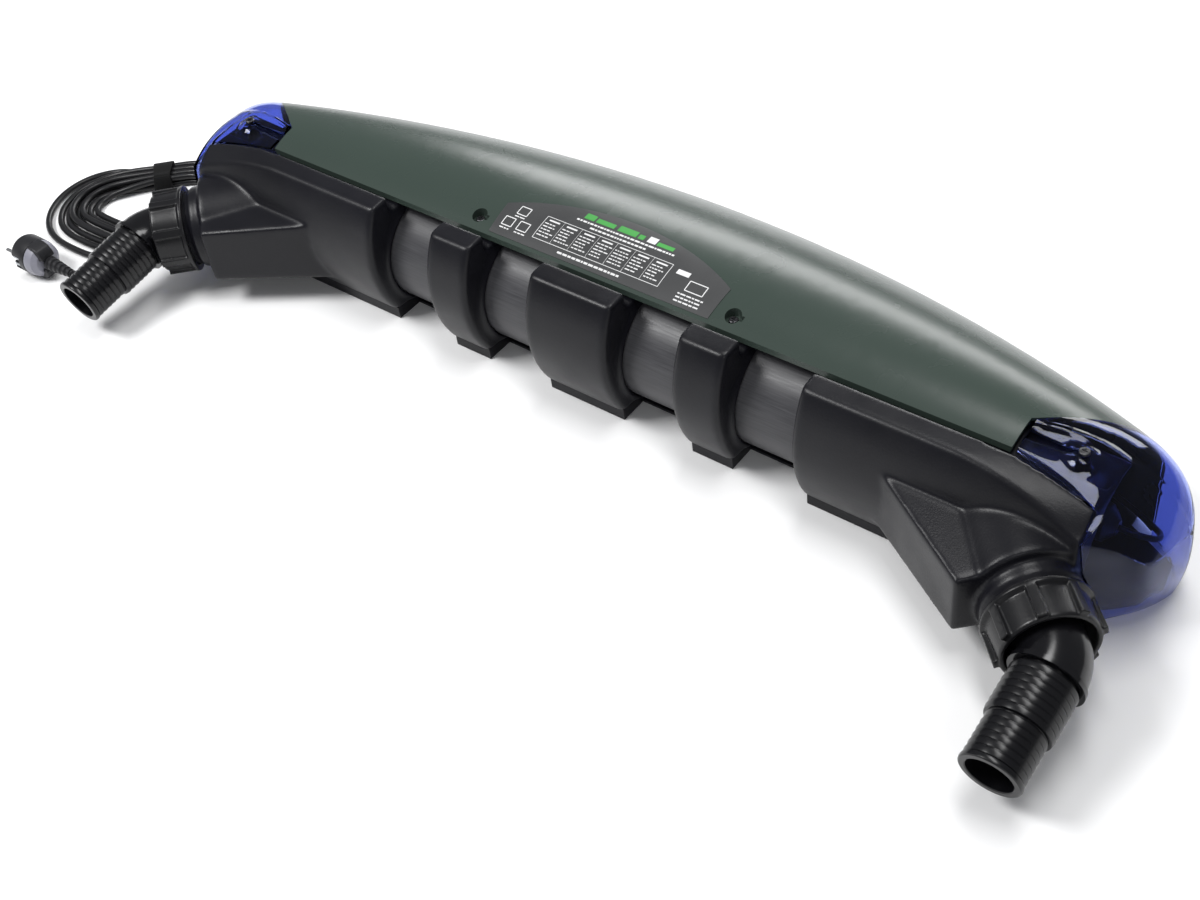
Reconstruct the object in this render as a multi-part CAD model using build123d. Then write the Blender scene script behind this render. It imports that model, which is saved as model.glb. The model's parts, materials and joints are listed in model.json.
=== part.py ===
from build123d import *
import math
import os

# UV clarifier for a pond: a 110 mm reactor pipe lies in a moulded base, held by end housings with
# swivelling hose ports and by three saddle brackets, under a bow-shaped cover with a translucent cap
# at each end.  Millimetres.  X runs along the pipe, -Y is the hose side, Z is up from the surface
# that the base stands on.  Right-hand pieces are modelled and left-hand ones are their mirror images.

# ---------------------------------------------------------------- driving dimensions
PIPE_R = 55.0                # 110 mm pressure pipe
PIPE_WALL = 3.2
PIPE_Z = 58.5                # height of the pipe's axis
PIPE_HALF = 420.0
RUN_GAP = 0.2                # clearance between pieces that slide or slip over each other
BASE_T = 3.0                 # base plate
WALL = 3.5                   # moulded walls
SKIN = 3.0                   # cover and cap skins

BOW_R = 943.0                # plan radius of the long curved back
BOW_Y = -750.0               # centre of that curve
FRONT_Y = -28.0              # straight front edge of the cover
FRONT_Z = 128.2
FRONT_SLOPE = math.radians(23)
COVER_FOOT = 5.2             # underside of the cover's skirt
COVER_FRONT_HALF = 396.0     # half length of the cover's straight front edge
COVER_END_SLOPE = 0.65       # slant of the cover's end cut in plan
COVER_END_X = 398.0          # where the slanted end cut starts, at Y = 0

BLOCK_IN_X = 231.6           # end housing, inner and outer end
BLOCK_OUT_X = 475.0
SMALL_X = (113.9, 162.3)     # small bracket, inner and outer side
CENTRE_HALF = 45.2           # centre bracket, half width
BLOCK_CREST = (-58.8, 134.2)  # front crease of every block (Y, Z)
BLOCK_BELLY = (-76.7, 70.0)
BLOCK_TOE = (-59.5, 13.0)
BLOCK_BACK_Y = -38.0

PORT_X = 355.7               # where the port axis crosses the pipe axis
PORT_FACE = 133.4            # distances along the port axis from that crossing
PORT_BORE_R = 21.0
NECK_R = 36.5
NECK_END = 160.0
NUT_START, NUT_END = 151.0, 184.0
BEND_T = 195.0               # where the elbow's two axes cross
ELBOW_R = 28.0
ELBOW_BEND_R = 32.0
TAIL_DROOP = 12.8            # degrees that the elbow is swivelled below level
TAIL_STEP, TAIL_END = 60.2, 101.5
TAIL_BORE_R = 18.5

SLEEVE_R = 19.0              # quartz sleeve
SLEEVE_HALF = 452.0
LAMP_R = 13.0                # T8 lamp
LAMP_HALF = 447.5

GLAND_X = -400.0             # cable gland through the back wall
GLAND_Z = 22.0
CORD_R = 3.5

PORT_DIR = Vector(math.sqrt(0.5), -math.sqrt(0.5), 0)
SECTION_STATIONS = (-525, -450, -350, -200, 0, 200, 350, 450, 525)


# ---------------------------------------------------------------- helpers
def bow_y(x, inset=0.0):
    """Y of the curved back wall at x."""
    return BOW_Y + math.sqrt((BOW_R - inset) ** 2 - x * x)


def box(x0, x1, y0, y1, z0, z1):
    return Pos((x0 + x1) / 2, (y0 + y1) / 2, (z0 + z1) / 2) * Box(x1 - x0, y1 - y0, z1 - z0)


def rod_x(r, x0, x1, y=0.0, z=PIPE_Z):
    """Cylinder along X."""
    return Pos((x0 + x1) / 2, y, z) * Rot(0, 90, 0) * Cylinder(r, x1 - x0)


def rod_z(r, x, y, z0, z1):
    return Pos(x, y, (z0 + z1) / 2) * Cylinder(r, z1 - z0)


def prism(points, z0, z1):
    """Upright prism over a plan polygon."""
    face = make_face(Polyline(*points, close=True))
    return Pos(0, 0, z0) * extrude(face, z1 - z0)


def section_prism(edges, x0, x1):
    """Section drawn in (Y, Z), run along X."""
    face = Plane.YZ.offset(x0) * make_face(edges)
    return extrude(face, x1 - x0)


def port_frame():
    """Frame whose Z runs out along the port axis and whose X points the way that the tail bends."""
    level = Vector(-math.sqrt(0.5), -math.sqrt(0.5), 0)
    droop = math.radians(TAIL_DROOP)
    bend = level * math.cos(droop) + Vector(0, 0, -1) * math.sin(droop)
    return Plane(origin=(PORT_X, 0, PIPE_Z), x_dir=bend, z_dir=PORT_DIR)


def port_rod(r, t0, t1):
    return port_frame() * Pos(0, 0, (t0 + t1) / 2) * Cylinder(r, t1 - t0)


def turned(points, frame):
    """Solid of revolution about the frame's Z from (radius, height) points."""
    face = make_face(Polyline(*[(r, 0, h) for r, h in points], close=True))
    return frame * revolve(face, Axis.Z)


def mirrored(shape):
    return mirror(shape, about=Plane.YZ)


def save(name, shape):
    export_step(shape, os.path.join("parts", name + ".step"))


def save_pair(name, shape):
    shape.label = name
    save("right_" + name, shape)
    save("left_" + name, mirrored(shape))


# ---------------------------------------------------------------- bow-shaped cover
def dome_arc(x, inset):
    """Roof circle of the cover at x: centre Y, centre Z and radius."""
    radius = (bow_y(x) - FRONT_Y) / (1 + math.sin(FRONT_SLOPE))
    centre_y = FRONT_Y + radius * math.sin(FRONT_SLOPE)
    centre_z = FRONT_Z - radius * math.cos(FRONT_SLOPE)
    return centre_y, centre_z, radius - inset


def dome_section(x, inset, front_y, level_front):
    """Closed section: roof, curved shoulder, upright back wall.  A level front keeps the crown's height."""
    cy, cz, r = dome_arc(x, inset)
    floor = -90
    shoulder = (cy + r * math.sin(math.radians(50)), cz + r * math.cos(math.radians(50)))
    if level_front:
        start = (cy, cz + r)
        lead = Line((front_y, cz + r), start)
    else:
        start = (front_y, cz + math.sqrt(r * r - (front_y - cy) ** 2))
        lead = None
    arc = ThreePointArc(start, shoulder, (cy + r, cz))
    rest = Polyline((cy + r, cz), (cy + r, floor), (front_y, floor), (front_y, start[1]))
    edges = [arc, rest] if lead is None else [lead, arc, rest]
    return Plane.YZ.offset(x) * make_face(edges)


def dome(inset, front_y, level_front=False, stations=SECTION_STATIONS):
    return loft([dome_section(x, inset, front_y, level_front) for x in stations])


def cover_plan(grow, z0, z1):
    """Plan region of the cover between its two slanted ends."""
    right = [(COVER_FRONT_HALF + grow, -60), (COVER_END_X + grow, 0),
             (600 + grow, COVER_END_SLOPE * (600 - COVER_END_X)), (600 + grow, 300)]
    left = [(-x, y) for x, y in reversed(right)]
    return prism(right + left, z0, z1)


COVER_SCREW = (138.8, -13.7)
CUP_FLOOR = 127.0


def top_cover():
    outer = dome(0, FRONT_Y)
    inner = dome(SKIN, FRONT_Y - 12)
    shell = (outer - inner) & cover_plan(0, COVER_FOOT, 160)
    lip = box(-COVER_FRONT_HALF, COVER_FRONT_HALF, FRONT_Y, FRONT_Y + 2.5, FRONT_Z - 6, FRONT_Z - 1.5)
    shell = shell + lip
    for sign in (-1, 1):
        x, y = sign * COVER_SCREW[0], COVER_SCREW[1]
        cup = rod_z(9.5, x, y, CUP_FLOOR - 2.2, 150) & outer
        shell = shell + cup - rod_z(7.3, x, y, CUP_FLOOR, 160)
        tail = box(x, x + 10, y - 2.6, y + 2.6, CUP_FLOOR + 2.5, 160)
        shell = shell - tail - rod_z(2.4, x, y, 100, 160)
    notch = gland_frame() * (Pos(0, 0, 0) * Cylinder(8.7, 40))
    throat = gland_frame() * (Pos(0, -20, 0) * Box(17.4, 40, 40))
    return (shell - notch - throat).solid()


LABEL_HALF = 120.0
LABEL_T = 0.4


def label_plate():
    """Thin arched plate stuck on the cover's front slope."""
    outline = make_face([Line((-LABEL_HALF, -24.5), (LABEL_HALF, -24.5)),
                         Line((LABEL_HALF, -24.5), (LABEL_HALF + 2, 8)),
                         ThreePointArc((LABEL_HALF + 2, 8), (0, 38), (-LABEL_HALF - 2, 8)),
                         Line((-LABEL_HALF - 2, 8), (-LABEL_HALF, -24.5))])
    column = Pos(0, 0, 100) * extrude(outline, 60)
    near = (-200, -100, 0, 100, 200)
    band = dome(-LABEL_T, FRONT_Y, stations=near) - dome(-0.02, FRONT_Y - 5, stations=near)
    return (band & column).solid()


# ---------------------------------------------------------------- end caps
CAP_WAIST_Z = 82.0           # widest level of the cap; below it the walls lean inwards
CAP_FLANK_X = BLOCK_OUT_X + 0.6
NOSE = [(CAP_FLANK_X, -77), (514, -46), (525, -22), (529, 12), (524, 40)]
NOSE_LEANS = [0.24, 0.20, 0.10, 0.04]
CAP_SCREW = (446.2, -12.7)
CAP_TOP_Z = 134.4            # level of the cap's tab round its screw
CAP_SEAM = 0.8               # gap along Y between the cap and the cover's slanted end


def beyond_wall(start, end, lean, inset):
    """Everything outside one wall of the cap, a plane that leans in below the waist."""
    along = (Vector(*end) - Vector(*start)).normalized()
    out = Vector(along.Y, -along.X, -lean).normalized()
    origin = Vector(*start, CAP_WAIST_Z) - out * inset
    return Plane(origin=origin, x_dir=along, z_dir=out) * Pos(0, 0, 100) * Box(600, 600, 200)


def end_shoulder_tool():
    """What is cut off above the rounded shoulder that falls away to the hose port."""
    radius = 108.0
    top = 134.8
    frame = Plane(origin=(380, BLOCK_BACK_Y, top - radius), x_dir=(0.466, -0.885, 0), z_dir=(0, 0, 1))
    block = Pos(100, 0, 100) * Box(200, 700, 200)
    barrel = Rot(90, 0, 0) * Cylinder(radius, 700)
    return frame * (block - barrel)


def cap_roof(inset):
    """Crown of the cap in elevation: level, then falling as a quarter of a rounded nose."""
    reach, rise, base = 110.0 - inset, 106.0 - inset, 30.0
    steps = [i / 6 for i in range(7)]
    nose = [(420 + reach * math.sin(s * math.pi / 2) ** 0.8,
             base + rise * math.cos(s * math.pi / 2) ** 0.8) for s in steps]
    edges = [Line((380, base + rise), nose[0]), Spline(*nose),
             Polyline(nose[-1], (nose[-1][0], -20), (380, -20), (380, base + rise))]
    face = Plane.XZ * make_face(edges)
    return extrude(face, 130, both=True)


def cap_body(inset):
    body = box(395, 560, -90, 110, -5, 145) & cap_roof(inset)
    body = body & dome(inset, -100, level_front=True, stations=(300, 360, 420, 480, 540))
    body = body - Pos(0, 0, -inset) * end_shoulder_tool()
    for start, end, lean in zip(NOSE, NOSE[1:], NOSE_LEANS):
        body = body - beyond_wall(start, end, 0, inset) - beyond_wall(start, end, lean, inset)
    return body


def end_cap():
    shell = cap_body(0) - cap_body(SKIN)
    seam = [(x, COVER_END_SLOPE * (x - COVER_END_X) - CAP_SEAM) for x in (560, 401)]
    keep = prism(seam + [(401, -29.5), (CAP_FLANK_X, -47), (CAP_FLANK_X, -90), (560, -90)], 0.6, 160)
    shell = shell & keep
    slot = box(COVER_END_X - 10, CAP_SCREW[0], CAP_SCREW[1] - 2.3, CAP_SCREW[1] + 2.3, 100, 160)
    notch = port_frame() * Pos(0, 50, 130) * Box(2 * NECK_R + 11, 100, 42)
    shell = shell - slot - rod_z(2.3, *CAP_SCREW, 100, 160) - port_rod(NECK_R + 5.5, 110, NUT_START) - notch
    return shell.solids().sort_by(SortBy.VOLUME)[-1]


# ---------------------------------------------------------------- blocks round the pipe
FOOT_SCREW_Y = -45.0
FOOT_SCREWS = {"end": (260.0, 440.0), "small": (138.1,), "centre": (25.0,)}


def foot_holes(xs, radius, z0, z1):
    return [rod_z(radius, x, FOOT_SCREW_Y, z0, z1) for x in xs]


def block_edges(inset):
    """Front section of every block in (Y, Z): belly arc, crest strip, and the tongue under the cover."""
    toe_y, toe_z = BLOCK_TOE
    crest_y, crest_z = BLOCK_CREST
    back = BLOCK_BACK_Y - inset
    arc = ThreePointArc((toe_y + inset * 0.8, toe_z + inset), (BLOCK_BELLY[0] + inset, BLOCK_BELLY[1]),
                        (crest_y + inset * 0.8, crest_z - inset))
    rest = Polyline((crest_y + inset * 0.8, crest_z - inset), (back, crest_z + 1.5 - inset),
                    (back, 119 - inset), (-26, 119.5 - inset), (-5, 124 - inset), (14 - inset, 124 - inset),
                    (14 - inset, PIPE_Z), (-20, toe_z + inset), (toe_y + inset * 0.8, toe_z + inset))
    return [arc, rest]


def rounded_block(x0, x1):
    """Solid block with softened front edges."""
    block = section_prism(block_edges(0), x0, x1)
    ends = [e for e in block.edges() if e.center().Y < -55 and e.length > 100]
    return fillet(ends, 5)


def collar(x, outward):
    """Soft raised rim where the pipe enters a block's side wall."""
    step = 3.5 * outward
    ring = [(PIPE_R, 0), (PIPE_R + 6, 0), (PIPE_R + 4.6, 2.4), (PIPE_R + 1.5, 3.5), (PIPE_R, 3.5)]
    frame = Plane(origin=(x, 0, PIPE_Z), x_dir=(0, -1, 0), z_dir=(outward, 0, 0))
    rim = turned(ring, frame)
    front = box(x - abs(step) - 1, x + abs(step) + 1, -70, 4, BLOCK_TOE[1], 125)
    return rim & front


def hollow(x0, x1):
    """Pocket inside a block, leaving walls and a skin round the pipe."""
    return section_prism(block_edges(WALL), x0 + WALL, x1 - WALL) - rod_x(PIPE_R + WALL, x0, x1)


def bracket(x0, x1, screw_xs, foot_xs):
    body = rounded_block(x0, x1) - hollow(x0, x1)
    for x in screw_xs:
        body = body + (rod_z(6, x, COVER_SCREW[1], 100, CUP_FLOOR - 2.6) - rod_x(PIPE_R, x0, x1))
    body = body + collar(x0, -1) + collar(x1, 1)
    for x in screw_xs:
        body = body - rod_z(1.6, x, COVER_SCREW[1], 114, 150)
    for hole in foot_holes(foot_xs, 1.6, BLOCK_TOE[1] - 1, BLOCK_TOE[1] + WALL + 1):
        body = body - hole
    return (body - rod_x(PIPE_R + RUN_GAP, x0 - 10, x1 + 10)).solid()


# ---------------------------------------------------------------- end housing with its hose port
FAIRING_FLOOR = 30.0
BARREL_R = 50.0


def fairing(inset):
    """Flat-topped wedge and round barrel that run out to the port face."""
    face_sum = (PORT_FACE - inset) * math.sqrt(2) + PORT_X
    tip = (410 - inset * 0.3, -(face_sum - 410) - inset * 0.3)
    plan = [(296 + inset * 2, -64), tip, (BLOCK_OUT_X - inset, BLOCK_OUT_X - inset - face_sum),
            (BLOCK_OUT_X - inset, -30), (296 + inset * 2, -30)]
    wedge = prism(plan, FAIRING_FLOOR + inset, 120)
    roof = Plane(origin=(0, -70, 96 - inset), x_dir=(1, 0, 0), z_dir=(0, -0.105, 1))
    wedge = wedge - roof * Pos(400, 0, 50) * Box(600, 300, 100)
    barrel = port_rod(BARREL_R - inset, 35, PORT_FACE - inset)
    keep = box(250, BLOCK_OUT_X - inset, -170, 0, FAIRING_FLOOR + inset, 125)
    return wedge + (barrel & keep)


def back_edge_tool():
    """Strip removed behind the crest so that the cap's front edge can pass."""
    return prism([(400, BLOCK_BACK_Y), (BLOCK_OUT_X + 5, -47.5), (BLOCK_OUT_X + 5, 30), (400, 30)], 118, 150)


def end_housing():
    outer = rounded_block(BLOCK_IN_X, BLOCK_OUT_X) - end_shoulder_tool() - back_edge_tool()
    outer = outer + fairing(0)
    inner = hollow(BLOCK_IN_X, BLOCK_OUT_X) - Pos(0, 0, -WALL) * end_shoulder_tool()
    inner = inner - Pos(0, -WALL, 0) * back_edge_tool()
    inner = inner + (fairing(WALL) - rod_x(PIPE_R + WALL, 200, 500))
    pipe = port_rod(PORT_BORE_R + 5, 40, PORT_FACE)
    neck = port_rod(NECK_R, PORT_FACE - 1, NECK_END)
    shoulder = port_rod(NECK_R + 4, PORT_FACE - 1, PORT_FACE + 12)
    boss = rod_z(6, *CAP_SCREW, 100, CAP_TOP_Z - SKIN - 0.9)
    body = outer - inner + pipe + neck + shoulder + boss + collar(BLOCK_IN_X, -1)
    body = body - port_rod(PORT_BORE_R, 30, NECK_END + 5) - rod_z(1.6, *CAP_SCREW, 112, 150)
    for hole in foot_holes(FOOT_SCREWS["end"], 1.6, BLOCK_TOE[1] - 1, BLOCK_TOE[1] + WALL + 1):
        body = body - hole
    return (body - rod_x(PIPE_R + RUN_GAP, 200, 520)).solids().sort_by(SortBy.VOLUME)[-1]


# ---------------------------------------------------------------- base
REAR_RIB_INSET = 9.0
FIX_X, FIX_Y, FIX_R = 200.0, (74.0, 150.0), 2.75   # holes for the screws that fix the unit down
BASE_NOSE = [(460, -40), (486, -32), (506, -14), (515, 10), (513, 34), (460, 60)]
BALLAST_HALF = 118.0
BALLAST_Y, BALLAST_FEET = 113.0, (-126.0, 126.0)


def foot_screw_xs():
    xs = [x for group in FOOT_SCREWS.values() for x in group]
    return xs + [-x for x in xs]


def bow_face(inset, half, front_y):
    ends = bow_y(half, inset)
    return make_face([ThreePointArc((-half, ends), (0, bow_y(0, inset)), (half, ends)),
                      Polyline((half, ends), (half, front_y), (-half, front_y), (-half, ends))])


def block_spans():
    return [(-BLOCK_OUT_X, -BLOCK_IN_X), (-SMALL_X[1], -SMALL_X[0]), (-CENTRE_HALF, CENTRE_HALF), SMALL_X,
            (BLOCK_IN_X, BLOCK_OUT_X)]


def base_tray():
    plate = extrude(bow_face(0, 468, -29), BASE_T)
    for sign in (-1, 1):
        nose = [(sign * x, y) for x, y in BASE_NOSE]
        plate = plate + prism(nose, 0, BASE_T)
    rib_outer = extrude(bow_face(REAR_RIB_INSET, 440, 66), 18)
    rib_inner = extrude(bow_face(REAR_RIB_INSET + 2.5, 437.5, 40), 30)
    tray = plate + (rib_outer - rib_inner)
    tray = tray + box(-340, 340, 60.5, 63.5, 0, 106)
    for x0, x1 in block_spans():
        tray = tray + box(x0 + 3, x1 - 3, -57, -28, 0, BLOCK_TOE[1] - 0.3)
        middle, half = (x0 + x1) / 2, min(20, (x1 - x0) / 2 - 6)
        tray = tray + box(middle - half, middle + half, -29, 62, 0, 30)
    tray = tray + gland_frame() * (Pos(0, 0, -REAR_RIB_INSET - 1.25) * Box(30, 24, 2.5))
    tray = tray - gland_frame() * Cylinder(8.1, 40)
    tray = tray - rod_x(PIPE_R + RUN_GAP, -500, 500)
    for x in foot_screw_xs():
        tray = tray - rod_z(1.8, x, FOOT_SCREW_Y, -1, 20) - rod_z(4.6, x, FOOT_SCREW_Y, -1, 4)
    for x in (-FIX_X, FIX_X):
        for y in FIX_Y:
            tray = tray - rod_z(FIX_R, x, y, -5, 10)
    for x in BALLAST_FEET:
        tray = tray + rod_z(7, x, BALLAST_Y, BASE_T - 1, 8) - rod_z(1.6, x, BALLAST_Y, 1, 9)
    return tray.solids().sort_by(SortBy.VOLUME)[-1]


def cover_seal():
    """Foam strip on the base flange, under the cover's skirt."""
    outer = extrude(bow_face(0.3, 440, 60), 2.0)
    return Pos(0, 0, BASE_T + 0.05) * (outer - extrude(bow_face(SKIN, 445, 40), 2.0))


# ---------------------------------------------------------------- reactor pipe and lamp
def reactor_tube():
    pipe = rod_x(PIPE_R, -PIPE_HALF, PIPE_HALF) - rod_x(PIPE_R - PIPE_WALL, -500, 500)
    hole = port_rod(PORT_BORE_R, 20, 120)
    return (pipe - hole - mirrored(hole)).solid()


def end_plate():
    """Plug in the pipe's end with a threaded boss for the sleeve's gland nut."""
    plug = rod_x(PIPE_R - PIPE_WALL - RUN_GAP, PIPE_HALF - 16, PIPE_HALF)
    plate = rod_x(PIPE_R, PIPE_HALF, PIPE_HALF + 8) + plug
    plate = plate + rod_x(26.8, PIPE_HALF + 8, 443)
    plate = plate - rod_x(SLEEVE_R + RUN_GAP, 390, 450)
    return plate - rod_x(22.5, 440, 450)


def sleeve_seal():
    return Plane(origin=(442.6, 0, PIPE_Z), x_dir=(0, 1, 0), z_dir=(1, 0, 0)) * Torus(SLEEVE_R + 1.75, 1.6)


def thrust_ring():
    return rod_x(22.0, 444.4, 446.4) - rod_x(SLEEVE_R + RUN_GAP, 440, 450)


def sleeve_nut():
    """Gland nut with six finger lugs."""
    body = rod_x(31, 430, 450)
    for i in range(6):
        turn = Pos(0, 0, PIPE_Z) * Rot(i * 60, 0, 0)
        body = body + turn * Pos(440, 32, 0) * Box(18, 6, 7)
    body = body - rod_x(26.9, 425, 446.6)
    return body - rod_x(SLEEVE_R + 0.5, 420, 460)


def quartz_sleeve():
    return rod_x(SLEEVE_R, -SLEEVE_HALF, SLEEVE_HALF) - rod_x(SLEEVE_R - 1.5, -500, 500)


def uv_lamp():
    return rod_x(LAMP_R, -LAMP_HALF + 12, LAMP_HALF - 12)


def lamp_base():
    """Metal end of the lamp with its two contact pins."""
    base = rod_x(LAMP_R + 0.3, LAMP_HALF - 12, LAMP_HALF)
    for side in (-1, 1):
        base = base + rod_x(1.2, LAMP_HALF, LAMP_HALF + 7, y=side * 6.35)
    return base


HOLDER_END = 476.0


def lamp_holder():
    """Rubber-booted lamp socket that plugs the sleeve's mouth."""
    body = rod_x(SLEEVE_R - 1.8, LAMP_HALF + 0.3, 458) + rod_x(24, SLEEVE_HALF + 0.5, 458)
    cone = Plane(origin=(458, 0, PIPE_Z), x_dir=(0, 1, 0), z_dir=(1, 0, 0))
    body = body + turned([(0, 0), (17, 0), (15, 10), (6, HOLDER_END - 458), (0, HOLDER_END - 458)], cone)
    for side in (-1, 1):
        body = body - rod_x(1.4, 440, LAMP_HALF + 7.5, y=side * 6.35)
    return body


LEAD_R = 2.5
LEAD_ROUTE = [(HOLDER_END, 0, PIPE_Z), (492, 0, PIPE_Z), (504, 12, 49), (501, 28, 38), (485, 42, 30),
              (458, 55, 27), (424, 66, 29), (385, 75, 31), (342, 81, 31), (300, 88, 29), (258, 91, 27),
              (216, 96, 25), (176, 101, 24), (144, 107, 24), (BALLAST_HALF, 107, 24)]
BALLAST_LEAD = [(-250, 77, 11), (-228, 77, 11), (-196, 85, 11), (-164, 93, 13), (-140, 98, 16),
                (-BALLAST_HALF, 98, 16)]


def arc_radii(points):
    """Largest even radius for each corner of a route, and the same printed for checking."""
    vectors = [Vector(*p) for p in points]
    radii = []
    for before, here, after in zip(vectors, vectors[1:], vectors[2:]):
        run_in, run_out = here - before, after - here
        turn = math.radians(run_in.get_angle(run_out))
        radii.append(0.45 * min(run_in.length, run_out.length) / math.tan(turn / 2))
    return radii


def cord_tube(name, points, radius):
    """Round cord swept along straight runs joined by tangent arcs."""
    radii = arc_radii(points)
    path = FilletPolyline(*points, radius=radii)
    start = Plane(origin=path @ 0, z_dir=path % 0)
    tube = sweep(start * Circle(radius), path=path)
    expected = math.pi * radius ** 2 * path.length
    print(name, "length", round(path.length, 1), "least radius", round(min(radii), 1),
          "volume ratio", round(tube.volume / expected, 4))
    return tube


# ---------------------------------------------------------------- hose ports
def port_seal():
    return port_frame() * Pos(0, 0, NECK_END + 2.0) * Torus(29.0, 1.9)


def union_nut():
    """Ring nut with eight grip lugs and a flange at the back."""
    frame = port_frame()
    outline = [(NECK_R + 0.1, NUT_START), (43, NUT_START), (43, NUT_START + 3.5), (39.5, NUT_START + 5.5),
               (38.5, NUT_END - 2), (37.5, NUT_END), (34.5, NUT_END), (32, NUT_END - 6), (ELBOW_R + 0.4, 174),
               (ELBOW_R + 0.4, 170), (NECK_R + 0.1, 170)]
    nut = turned(outline, frame)
    middle = (NUT_START + NUT_END) / 2 + 1
    for i in range(8):
        lug = Rot(0, 0, i * 45) * Pos(39.6, 0, middle) * Box(5.6, 8, NUT_END - NUT_START - 4)
        nut = nut + frame * lug
    return nut


def elbow_path(start_t, end_l):
    """Centre line in the port frame: straight, 45 degree bend, straight."""
    reach = ELBOW_BEND_R * math.tan(math.radians(22.5))
    lean = math.sqrt(0.5)
    bend_in = Vector(0, 0, BEND_T - reach)
    bend_out = Vector(reach * lean, 0, BEND_T + reach * lean)
    end = Vector(end_l * lean, 0, BEND_T + end_l * lean)
    return Wire([Line((0, 0, start_t), bend_in), TangentArc(bend_in, bend_out, tangent=(0, 0, 1)),
                 Line(bend_out, end)])


def elbow_sweep(radius, start_t, end_l):
    path = elbow_path(start_t, end_l)
    return sweep(Pos(0, 0, start_t) * Circle(radius), path=path)


SOCKET_L = 17.0


def swivel_elbow():
    """45 degree elbow: flange held by the union nut, body, and a lipped socket for the hose tail."""
    body = elbow_sweep(ELBOW_R, 166, SOCKET_L)
    flange = turned([(0, NECK_END + 4.1), (33.5, NECK_END + 4.1), (33.5, 169.6), (0, 169.6)], Plane.XY)
    lip = tail_frame_local() * Pos(0, 0, SOCKET_L - 2) * Cylinder(ELBOW_R + 1.8, 4)
    bore = elbow_sweep(PORT_BORE_R, 160, SOCKET_L + 3)
    socket = tail_frame_local() * Pos(0, 0, 4 + 10) * Cylinder(24.1, 20 - 2)
    return port_frame() * (body + flange + lip - bore - socket)


def tail_frame_local():
    lean = math.sqrt(0.5)
    return Plane(origin=(0, 0, BEND_T), x_dir=(lean, 0, -lean), z_dir=(lean, 0, lean))


def barbs(start, end, root, crest, count):
    """Saw-tooth outline of a run of barbs, as (radius, height) points."""
    pitch = (end - start) / count
    points = []
    for i in range(count):
        points += [(crest, start + i * pitch), (root, start + (i + 0.9) * pitch)]
    return points + [(crest, end)]


def hosetail():
    """Two-step barbed tail with a bead at its mouth."""
    outline = [(TAIL_BORE_R, 6), (24.0, 6), (24.0, SOCKET_L + 0.2)]
    outline += barbs(SOCKET_L + 0.3, TAIL_STEP, 25.2, 26.6, 7)
    outline += barbs(TAIL_STEP + 0.4, TAIL_END - 4, 22.6, 23.9, 6)
    outline += [(24.4, TAIL_END - 3.8), (24.4, TAIL_END - 1), (23.6, TAIL_END), (TAIL_BORE_R, TAIL_END)]
    return port_frame() * turned(outline, tail_frame_local())


# ---------------------------------------------------------------- electrics under the cover
def ballast():
    case = box(-BALLAST_HALF, BALLAST_HALF, 92, 134, 8.1, 38)
    case = fillet(case.edges().filter_by(Axis.X), 3)
    reach = BALLAST_HALF + 16
    body = case + box(-reach, reach, BALLAST_Y - 9, BALLAST_Y + 9, 8.1, 10.5)
    for x in BALLAST_FEET:
        body = body - rod_z(1.8, x, BALLAST_Y, 0, 20)
    return body


def screw(x, y, z_seat, length, head_r=4.2, head_h=2.6, flip=False):
    """Cross-head pan screw at a seat level, head up, or head down when flipped."""
    head = Cylinder(head_r, head_h, align=(Align.CENTER, Align.CENTER, Align.MIN))
    head = fillet(head.faces().sort_by(Axis.Z)[-1].edges(), 0.9)
    shank = Pos(0, 0, -length / 2) * Cylinder(1.5, length)
    slots = Pos(0, 0, head_h) * (Box(0.9, head_r * 1.2, 2.2) + Box(head_r * 1.2, 0.9, 2.2))
    body = head + shank - slots
    return Pos(x, y, z_seat) * (Rot(180, 0, 0) * body if flip else body)


def cover_screws():
    return Compound([screw(sign * COVER_SCREW[0], COVER_SCREW[1], CUP_FLOOR + 0.05, 11) for sign in (-1, 1)])


def cap_screw():
    return screw(*CAP_SCREW, CAP_TOP_Z + 0.15, 15)


def foot_screws():
    return Compound([screw(x, FOOT_SCREW_Y, 3.95, 15, flip=True) for x in foot_screw_xs()])


def ballast_screws():
    return Compound([screw(x, BALLAST_Y, 10.55, 7.5) for x in BALLAST_FEET])


def terminal_block():
    body = box(-300, -250, 66, 88, BASE_T + 0.05, 20)
    for i in range(4):
        body = body - rod_z(2.5, -293.75 + i * 12.5, 77, 12, 25)
    return body


def gland_frame():
    """Frame at the cable gland: Z runs out through the back wall, Y is up."""
    out = Vector(GLAND_X, bow_y(GLAND_X) - BOW_Y, 0).normalized()
    return Plane(origin=(GLAND_X, bow_y(GLAND_X), GLAND_Z), x_dir=Vector(0, 0, 1).cross(out), z_dir=out)


def gland_point(distance):
    return tuple(gland_frame().from_local_coords(Vector(0, 0, distance)))


def cable_gland():
    seat = -REAR_RIB_INSET - 2.6
    bore = CORD_R + 0.02
    return turned([(bore, seat - 5), (11, seat - 5), (11, seat), (8, seat), (8, 3), (bore, 3)], gland_frame())


def gland_nut():
    nut = gland_frame() * Pos(0, 0, 8) * extrude(RegularPolygon(11, 6), 4.9, both=True)
    return nut - gland_frame() * Cylinder(CORD_R + 0.05, 60)


RELIEF_END = 30.0


def strain_relief():
    bore = CORD_R + 0.02
    return turned([(bore, 13), (8, 13), (8, 16), (4.6, RELIEF_END), (bore, RELIEF_END)], gland_frame())


def supply_lead():
    """The mains cord's own end inside the base, from the terminals out through the gland."""
    points = [(-300, 77, 11), (-326, 77, 11), (-361, 64.5, 16), gland_point(-31), gland_point(RELIEF_END)]
    return cord_tube("supply_lead", points, CORD_R)


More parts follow.
